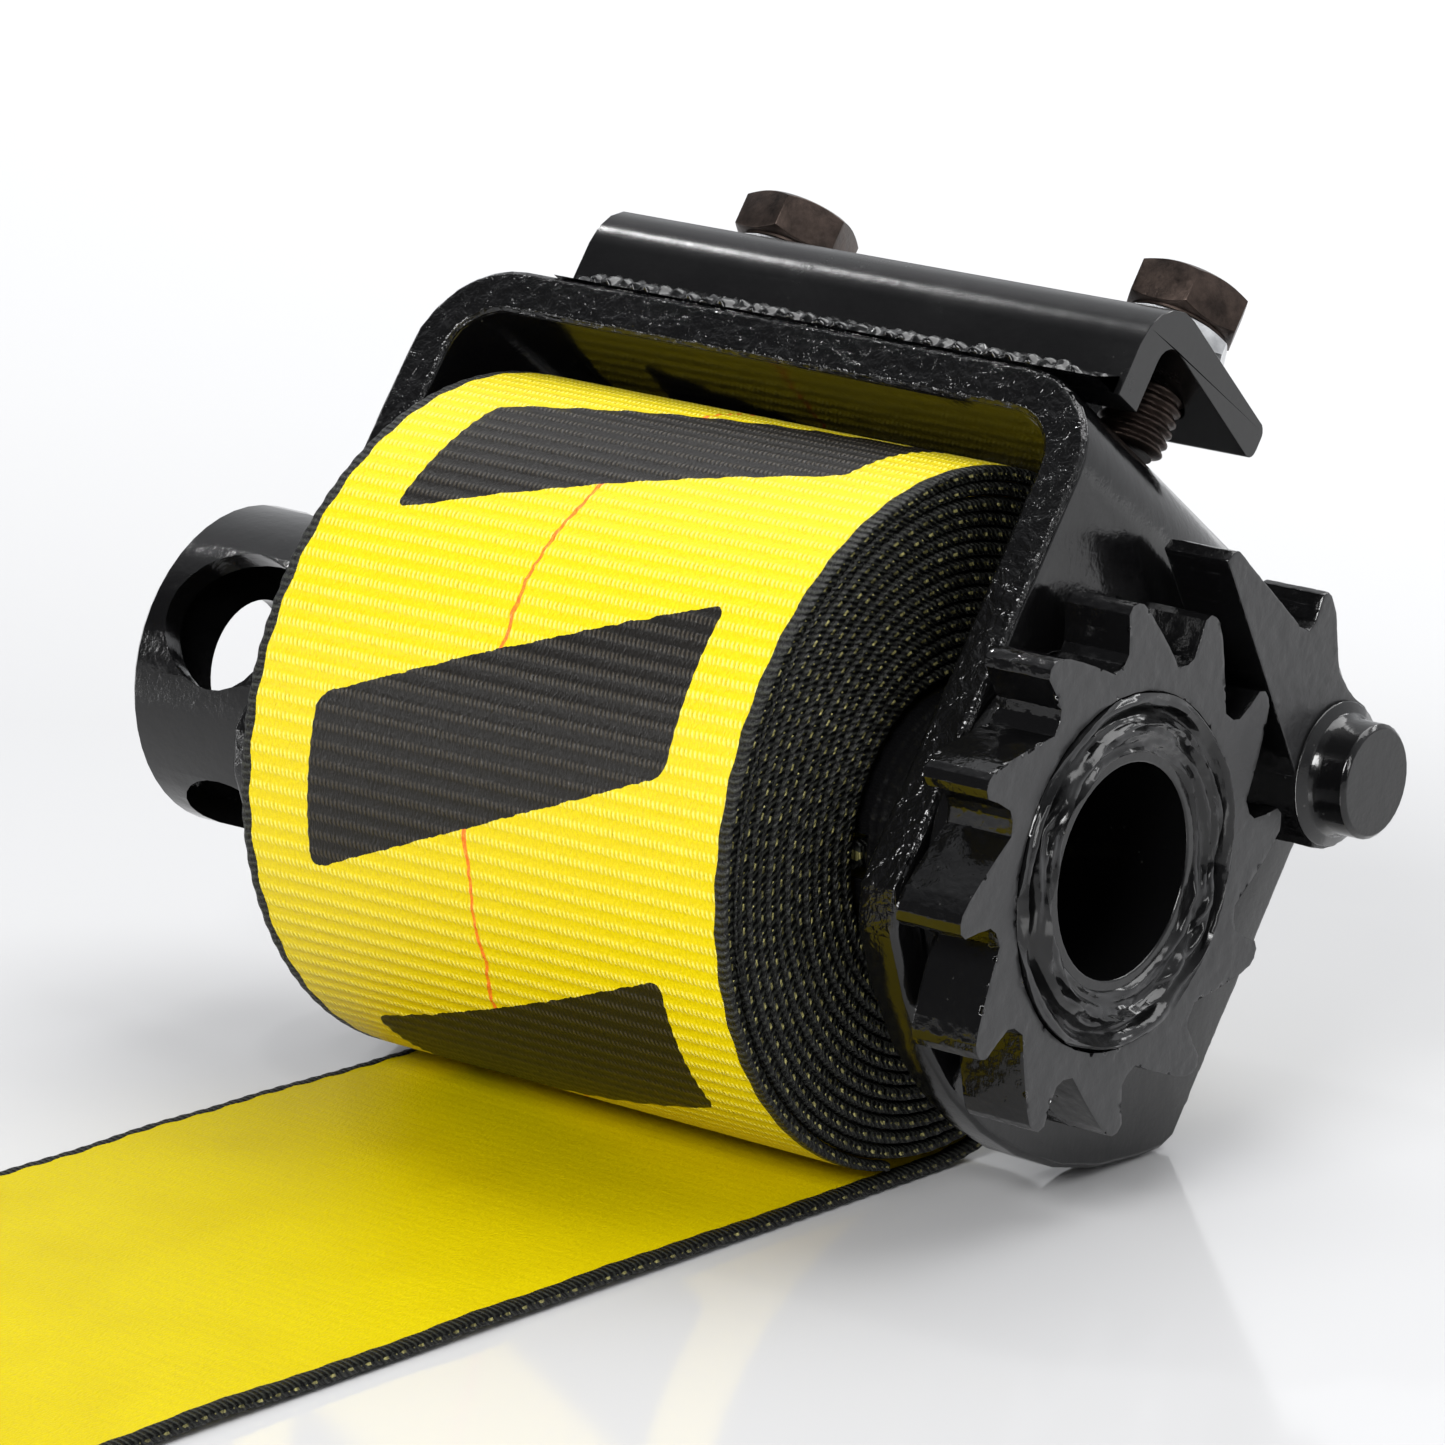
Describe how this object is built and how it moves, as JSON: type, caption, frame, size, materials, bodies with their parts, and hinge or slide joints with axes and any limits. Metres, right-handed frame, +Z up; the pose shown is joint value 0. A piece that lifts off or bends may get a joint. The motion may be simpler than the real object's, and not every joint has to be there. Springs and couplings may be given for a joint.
{
  "type": "strap winch",
  "caption": "Clamp-on ratchet strap winch: bent steel frame, slotted drum with toothed wheel and bar cap, flip-over pawl, wound webbing strap with flat hook.",
  "frame": {"origin": "floor level, under the middle of the part's box; the winch lies on its roll of webbing as it does when put down", "axes": "+X along the drum axle towards the ratchet wheel, -Y the way the strap runs out along the floor, +Z up"},
  "size_m": [0.1978, 0.4502, 0.1461],
  "materials": {
    "black_paint": "gloss black paint over rough-cut steel",
    "bolt_steel": "dark brown-black oxide",
    "zinc_steel": "bright zinc plate",
    "webbing": "ribbed polyester weave",
    "webbing_edge": "black rope-like selvedge with pale flecks"
  },
  "bodies": {
    "frame": {"frame": "black_paint", "clamp_angle": "black_paint", "clamp_weld": "black_paint", "set_bolt_nut_left": "zinc_steel", "set_bolt_nut_right": "zinc_steel", "pawl_pin": "black_paint", "pawl_pin_weld": "black_paint", "pawl_washer": "bolt_steel", "drum_washer": "bolt_steel", "strap_tail": "webbing"},
    "drum": {"drum_tube": "black_paint", "ratchet_wheel": "black_paint", "ratchet_weld": "black_paint", "bar_cap": "black_paint", "strap_roll": "webbing_edge", "strap_inner_end": "webbing"},
    "pawl": {"pawl": "black_paint"},
    "bolt_left": {"set_bolt_left": "bolt_steel"},
    "bolt_right": {"set_bolt_right": "bolt_steel"},
    "hook": {"flat_hook": "zinc_steel"}
  },
  "joints": [
    {"name": "drum_spin", "type": "hinge", "parent": "frame", "child": "drum", "pos_m": [0.0049, 0.13155, 0.05807], "axis": [1, 0, 0], "continuous": true},
    {"name": "pawl_swing", "type": "hinge", "parent": "frame", "child": "pawl", "pos_m": [0.0049, 0.19015, 0.06407], "axis": [-1, 0, 0], "range_deg": [0, 240]},
    {"name": "bolt_left_slide", "type": "slide", "parent": "frame", "child": "bolt_left", "axis": [0, 0.5736, 0.8192], "range_m": [0, 0.014]},
    {"name": "bolt_right_slide", "type": "slide", "parent": "frame", "child": "bolt_right", "axis": [0, 0.5736, 0.8192], "range_m": [0, 0.014]},
    {"name": "hook_swing", "type": "hinge", "parent": "frame", "child": "hook", "pos_m": [0.0049, -0.15845, 0.0086], "axis": [-1, 0, 0], "range_deg": [0, 90]}
  ]
}
